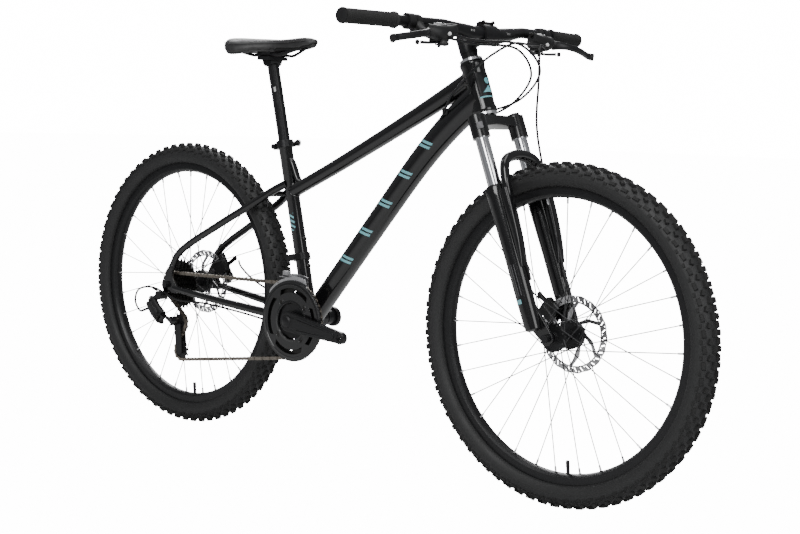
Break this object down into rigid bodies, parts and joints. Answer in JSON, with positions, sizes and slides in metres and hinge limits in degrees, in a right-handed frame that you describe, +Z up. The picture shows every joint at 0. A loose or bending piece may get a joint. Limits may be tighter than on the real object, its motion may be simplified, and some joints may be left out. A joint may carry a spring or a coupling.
{
  "type": "mountain bike",
  "caption": "Hardtail mountain bike with a coil-sprung suspension fork, knobbly tyres, cable disc brakes and a derailleur drivetrain; no pedals fitted.",
  "frame": {"origin": "on the ground, midway between the two wheel axles' contact patches", "axes": "+X forward (towards the front wheel), +Y to the rider's left, +Z up; steering straight ahead"},
  "size_m": [1.8277, 0.7862, 0.9796],
  "materials": {
    "black_paint": "gloss",
    "black_alloy": "satin black anodised",
    "fork_paint": "gloss black",
    "silver_alloy": "polished",
    "chrome_steel": "polished",
    "steel": "brushed",
    "chain_steel": "oiled",
    "dark_steel": "black oxide",
    "black_plastic": "matt moulded",
    "black_rubber": "matt ribbed",
    "cable_sheath": "satin vinyl",
    "tyre_rubber": "knobbly tread",
    "saddle_vinyl": "stitched synthetic leather"
  },
  "bodies": {
    "frame": {"frame": "black_paint", "headset": "silver_alloy", "bottom_bracket": "black_alloy", "seat_collar": "black_alloy", "rear_axle": "steel", "rear_caliper": "black_alloy", "front_mech_clamp": "black_paint", "mech_hanger": "black_paint", "frame_cables": "cable_sheath", "chain": "chain_steel"},
    "seat": {"seatpost": "black_alloy", "saddle_clamp": "black_alloy", "saddle_base": "black_plastic", "saddle_cover": "saddle_vinyl"},
    "collar_lever": {"collar_lever": "black_alloy"},
    "steering": {"fork_crown": "black_alloy", "fork_stanchions": "chrome_steel", "fork_spring": "steel", "stem": "black_alloy", "stem_bolts": "steel", "handlebar": "black_alloy", "grips": "black_rubber", "control_pods": "black_alloy", "steering_cables": "cable_sheath"},
    "preload_knob": {"preload_knob": "black_plastic"},
    "brake_lever_left": {"brake_lever_left": "black_alloy"},
    "brake_lever_right": {"brake_lever_right": "black_alloy"},
    "thumb_lever_left": {"thumb_lever_left": "black_alloy"},
    "thumb_lever_right": {"thumb_lever_right": "black_alloy"},
    "trigger_left": {"trigger_left": "black_alloy"},
    "trigger_right": {"trigger_right": "black_alloy"},
    "fork_lowers": {"fork_lowers": "fork_paint", "front_axle": "steel", "front_caliper": "black_alloy"},
    "front_brake_arm": {"front_brake_arm": "black_alloy"},
    "front_qr_lever": {"front_qr_lever": "silver_alloy"},
    "front_wheel": {"front_hub": "black_alloy", "front_spokes": "steel", "front_rim": "black_alloy", "front_tyre": "tyre_rubber", "front_rotor": "steel"},
    "rear_wheel": {"rear_hub": "black_alloy", "rear_spokes": "steel", "rear_rim": "black_alloy", "rear_tyre": "tyre_rubber", "rear_rotor": "steel"},
    "rear_brake_arm": {"rear_brake_arm": "black_alloy"},
    "rear_qr_lever": {"rear_qr_lever": "silver_alloy"},
    "cassette": {"cassette": "dark_steel"},
    "crank": {"crank_spindle": "steel", "crank_right": "black_alloy", "crank_left": "black_alloy", "chainrings": "dark_steel", "chainguard": "black_plastic"},
    "front_mech_cage": {"front_mech_cage": "steel"},
    "mech_link": {"mech_link": "black_alloy"},
    "mech_knuckle": {"mech_knuckle": "black_alloy"},
    "mech_cage": {"mech_cage": "black_alloy"},
    "guide_pulley": {"guide_pulley": "black_plastic"},
    "tension_pulley": {"tension_pulley": "black_plastic"}
  },
  "joints": [
    {"name": "seatpost_height", "type": "slide", "parent": "frame", "child": "seat", "axis": [-0.2419, 0, 0.9703], "range_m": [-0.055, 0.07]},
    {"name": "collar_lever_open", "type": "hinge", "parent": "frame", "child": "collar_lever", "pos_m": [-0.2619, 0.023, 0.6987], "axis": [-0.2419, 0, 0.9703], "range_deg": [0, 170]},
    {"name": "steering_turn", "type": "hinge", "parent": "frame", "child": "steering", "pos_m": [0.5278, 0, 0.3343], "axis": [-0.3665, 0, 0.9304], "range_deg": [-70, 70], "deforming": ["steering_cables"]},
    {"name": "preload_turn", "type": "hinge", "parent": "steering", "child": "preload_knob", "pos_m": [0.37528, 0.065, 0.78152], "axis": [-0.3665, 0, 0.9304], "range_deg": [0, 360]},
    {"name": "brake_lever_left_pull", "type": "hinge", "parent": "steering", "child": "brake_lever_left", "pos_m": [0.36088, 0.212, 0.93967], "axis": [0, 0, 1], "range_deg": [0, 20]},
    {"name": "brake_lever_right_pull", "type": "hinge", "parent": "steering", "child": "brake_lever_right", "pos_m": [0.36088, -0.212, 0.93967], "axis": [0, 0, -1], "range_deg": [0, 20]},
    {"name": "thumb_lever_left_push", "type": "hinge", "parent": "steering", "child": "thumb_lever_left", "pos_m": [0.35686, 0.168, 0.92567], "axis": [0, 0, 1], "range_deg": [0, 30]},
    {"name": "thumb_lever_right_push", "type": "hinge", "parent": "steering", "child": "thumb_lever_right", "pos_m": [0.35686, -0.168, 0.92567], "axis": [0, 0, -1], "range_deg": [0, 30]},
    {"name": "trigger_left_pull", "type": "hinge", "parent": "steering", "child": "trigger_left", "pos_m": [0.35686, 0.168, 0.92567], "axis": [0, 0, 1], "range_deg": [0, 15]},
    {"name": "trigger_right_pull", "type": "hinge", "parent": "steering", "child": "trigger_right", "pos_m": [0.35686, -0.168, 0.92567], "axis": [0, 0, -1], "range_deg": [0, 15]},
    {"name": "fork_travel", "type": "slide", "parent": "steering", "child": "fork_lowers", "axis": [-0.3665, 0, 0.9304], "range_m": [0, 0.1], "deforming": ["fork_spring"]},
    {"name": "front_brake_arm_pull", "type": "hinge", "parent": "fork_lowers", "child": "front_brake_arm", "pos_m": [0.49791, 0, 0.39955], "axis": [0, 1, 0], "range_deg": [0, 24]},
    {"name": "front_qr_open", "type": "hinge", "parent": "fork_lowers", "child": "front_qr_lever", "pos_m": [0.565, 0.071, 0.349], "axis": [0.3665, 0, -0.9304], "range_deg": [0, 170]},
    {"name": "front_wheel_spin", "type": "hinge", "parent": "fork_lowers", "child": "front_wheel", "pos_m": [0.565, 0, 0.349], "axis": [0, 1, 0], "continuous": true},
    {"name": "rear_wheel_spin", "type": "hinge", "parent": "frame", "child": "rear_wheel", "pos_m": [-0.565, 0, 0.349], "axis": [0, 1, 0], "continuous": true},
    {"name": "rear_brake_arm_pull", "type": "hinge", "parent": "frame", "child": "rear_brake_arm", "pos_m": [-0.49536, 0, 0.39597], "axis": [0, 1, 0], "range_deg": [-24, 0]},
    {"name": "rear_qr_open", "type": "hinge", "parent": "frame", "child": "rear_qr_lever", "pos_m": [-0.565, 0.088, 0.349], "axis": [0, 0, -1], "range_deg": [0, 170]},
    {"name": "crank_spin", "type": "hinge", "parent": "frame", "child": "crank", "pos_m": [-0.138, 0, 0.305], "axis": [0, 1, 0], "continuous": true, "deforming": ["chain"]},
    {"name": "cassette_spin", "type": "hinge", "parent": "frame", "child": "cassette", "pos_m": [-0.565, 0, 0.349], "axis": [0, 1, 0], "continuous": true},
    {"name": "front_shift", "type": "slide", "parent": "frame", "child": "front_mech_cage", "axis": [0, 1, 0], "range_m": [0, 0.015]},
    {"name": "rear_shift", "type": "hinge", "parent": "frame", "child": "mech_link", "pos_m": [-0.612, -0.084, 0.303], "axis": [0.5547, 0, 0.8321], "range_deg": [0, 26], "deforming": ["frame_cables"]},
    {"name": "rear_shift_parallel", "type": "hinge", "parent": "mech_link", "child": "mech_knuckle", "pos_m": [-0.558, -0.094, 0.267], "axis": [0.5547, 0, 0.8321], "range_deg": [-26, 0]},
    {"name": "chain_tension", "type": "hinge", "parent": "mech_knuckle", "child": "mech_cage", "pos_m": [-0.535, -0.057, 0.262], "axis": [0, 1, 0], "range_deg": [-25, 45]},
    {"name": "guide_pulley_spin", "type": "hinge", "parent": "mech_cage", "child": "guide_pulley", "pos_m": [-0.531, 0, 0.258], "axis": [0, 1, 0], "continuous": true},
    {"name": "tension_pulley_spin", "type": "hinge", "parent": "mech_cage", "child": "tension_pulley", "pos_m": [-0.52383, 0, 0.18837], "axis": [0, 1, 0], "continuous": true}
  ],
  "couplings": [
    {"joint": "front_brake_arm_pull", "follows": "brake_lever_left_pull", "ratio": 1.2},
    {"joint": "rear_brake_arm_pull", "follows": "brake_lever_right_pull", "ratio": -1.2},
    {"joint": "cassette_spin", "follows": "crank_spin", "ratio": 3},
    {"joint": "guide_pulley_spin", "follows": "crank_spin", "ratio": -3.8182},
    {"joint": "tension_pulley_spin", "follows": "crank_spin", "ratio": 3.8182},
    {"joint": "rear_shift_parallel", "follows": "rear_shift", "ratio": -1}
  ]
}
